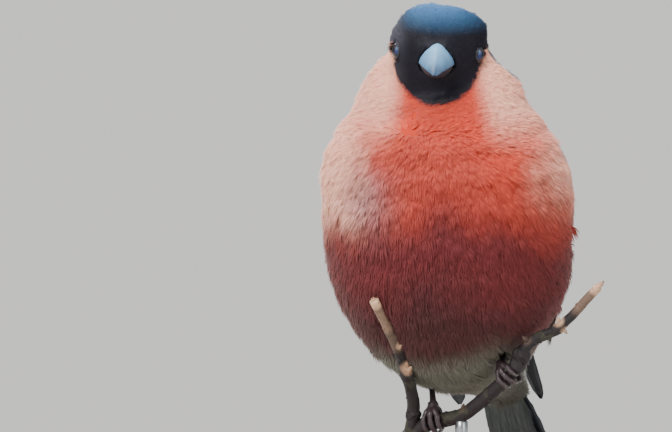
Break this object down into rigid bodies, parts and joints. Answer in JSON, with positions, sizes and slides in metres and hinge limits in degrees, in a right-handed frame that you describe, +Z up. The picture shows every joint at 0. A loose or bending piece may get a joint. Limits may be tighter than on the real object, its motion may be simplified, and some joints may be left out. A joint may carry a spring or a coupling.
{
  "type": "perched bullfinch model",
  "caption": "Life-size still model of a fluffed-up male bullfinch gripping a short cut twig on a plain round display stand.",
  "frame": {"origin": "centre of the underside of the stand's flat base, on the floor, under the bird", "axes": "+Z up, -Y towards the viewer of the picture, which the bird's face looks at, +X to the viewer's right"},
  "size_m": [0.0747, 0.1015, 0.1425],
  "materials": {
    "black_feathers": "soft feathers with a faint blue gloss",
    "rose_feathers": "soft matt feathers",
    "bill": "smooth horn",
    "eyes": "wet and very smooth",
    "legs": "scaly, satin",
    "bark": "rough bark",
    "stand_wood": "oiled",
    "stand_metal": "brushed"
  },
  "bodies": {
    "root": {"head": "black_feathers", "neck": "rose_feathers", "torso": "rose_feathers", "bill_upper": "bill", "bill_lower": "bill", "eye_left": "eyes", "eye_right": "eyes", "wing_left": "black_feathers", "wing_right": "black_feathers", "tail": "black_feathers", "leg_left": "legs", "leg_right": "legs", "foot_left": "legs", "foot_right": "legs", "perch_branch": "bark", "perch_shoot": "bark", "stand_base": "stand_wood", "stand_rod_a": "stand_metal", "stand_rod_b": "stand_metal"}
  },
  "joints": []
}
